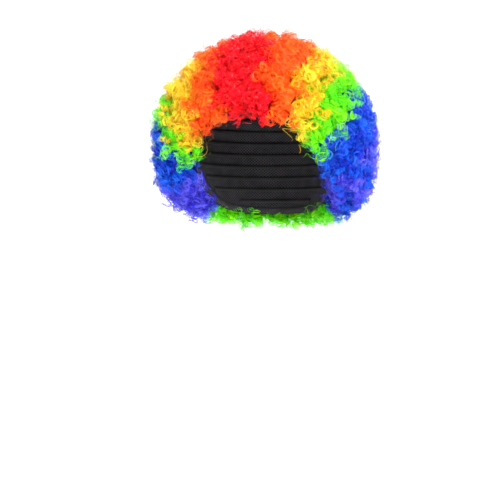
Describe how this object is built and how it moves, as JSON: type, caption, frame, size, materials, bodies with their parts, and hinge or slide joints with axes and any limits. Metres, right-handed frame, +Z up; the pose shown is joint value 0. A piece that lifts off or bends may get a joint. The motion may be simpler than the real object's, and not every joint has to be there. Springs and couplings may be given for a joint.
{
  "type": "clown wig",
  "caption": "Child's round party wig of tight curls in rainbow sections on a head cap, with an arched face opening, ear notches and a low nape.",
  "frame": {"origin": "the inside of the cap's crown, where it sits on top of the head", "axes": "+Z up, -Y towards the face opening, +X towards the wearer's left"},
  "size_m": [0.2517, 0.2544, 0.2147],
  "materials": {
    "cap_net": "matt elastic net",
    "hair_red": "glossy synthetic fibre",
    "hair_orange": "glossy synthetic fibre",
    "hair_yellow": "glossy synthetic fibre",
    "hair_green": "glossy synthetic fibre",
    "hair_blue": "glossy synthetic fibre",
    "hair_violet": "glossy synthetic fibre"
  },
  "bodies": {
    "root": {"cap": "cap_net", "hair_red": "hair_red", "hair_orange_left": "hair_orange", "hair_orange_right": "hair_orange", "hair_yellow_left": "hair_yellow", "hair_yellow_right": "hair_yellow", "hair_green_left": "hair_green", "hair_green_right": "hair_green", "hair_green_nape": "hair_green", "hair_blue_left": "hair_blue", "hair_blue_right": "hair_blue", "hair_blue_low": "hair_blue", "hair_violet_left": "hair_violet", "hair_violet_right": "hair_violet"}
  },
  "joints": []
}
